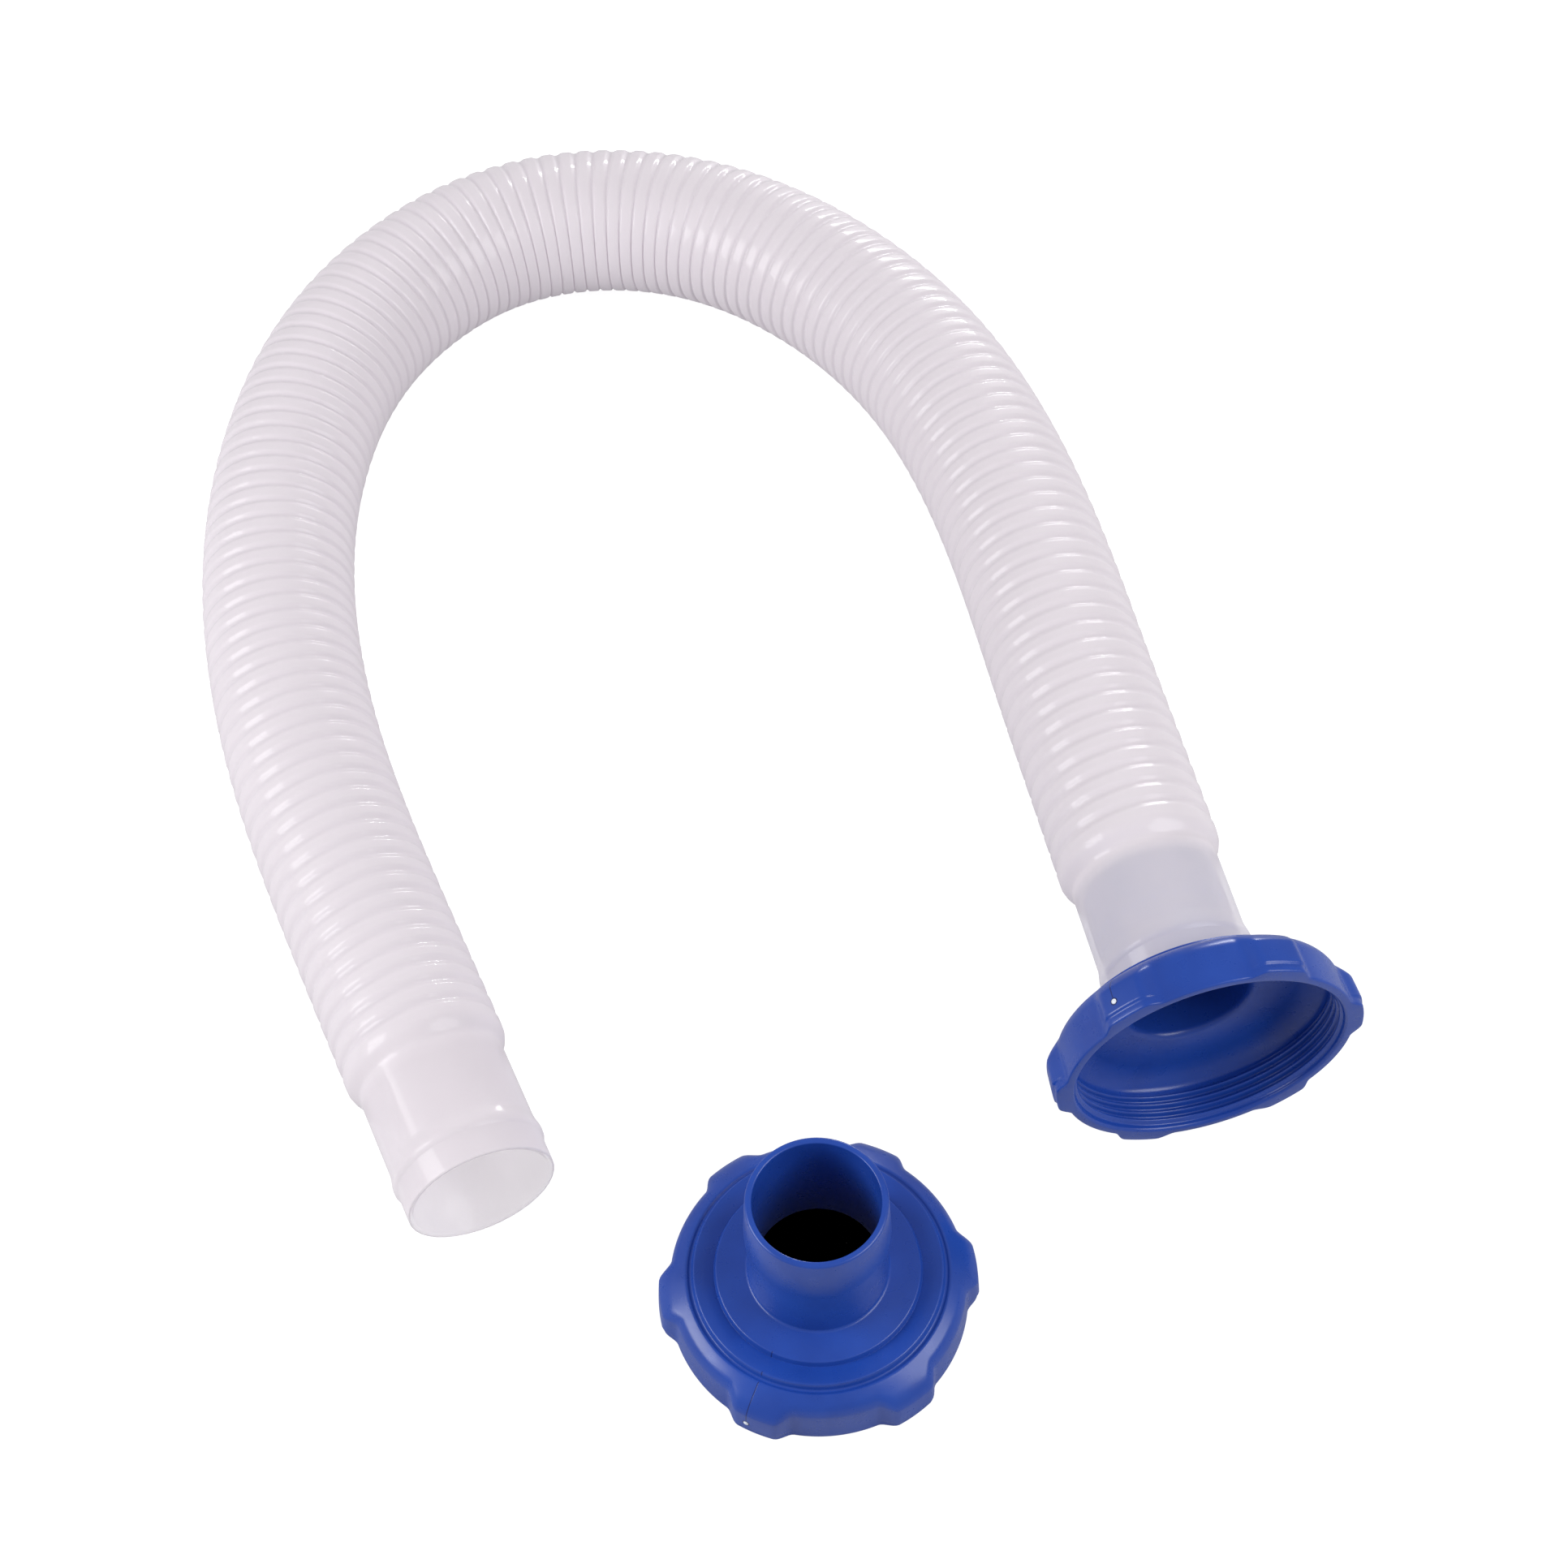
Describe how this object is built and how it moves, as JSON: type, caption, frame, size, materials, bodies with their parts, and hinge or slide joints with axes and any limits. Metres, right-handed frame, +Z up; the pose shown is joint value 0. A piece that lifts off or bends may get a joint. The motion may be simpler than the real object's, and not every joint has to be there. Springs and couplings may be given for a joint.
{
  "type": "pool vacuum hose",
  "caption": "Ribbed pool vacuum hose laid in a U with a plain cuff at each end, a screw-cap adapter pushed into a cuff and a matching adapter standing loose.",
  "frame": {"origin": "middle of the whole set's footprint, on the floor that the hose and both adapters stand on", "axes": "+Z up; -Y is the way both hose ends point and the way the fitted adapter pulls off; +X towards the fitted adapter's leg of the hose"},
  "size_m": [0.2884, 0.4508, 0.0834],
  "materials": {
    "hose_plastic": "satin, faintly translucent soft plastic",
    "cuff_plastic": "smooth satin soft plastic",
    "cap_plastic": "moulded blue plastic, satin gloss"
  },
  "bodies": {
    "hose": {"corrugated_hose": "hose_plastic", "open_cuff": "cuff_plastic", "fitted_cuff": "cuff_plastic"},
    "fitted_adapter": {"fitted_adapter": "cap_plastic"},
    "loose_adapter": {"loose_adapter": "cap_plastic"}
  },
  "joints": [
    {"name": "adapter_pull_off", "type": "slide", "parent": "hose", "child": "fitted_adapter", "axis": [0, -1, 0], "range_m": [0, 0.06]},
    {"name": "loose_adapter_lift", "type": "slide", "parent": "hose", "child": "loose_adapter", "axis": [0, 0, 1], "range_m": [0, 0.1]}
  ]
}
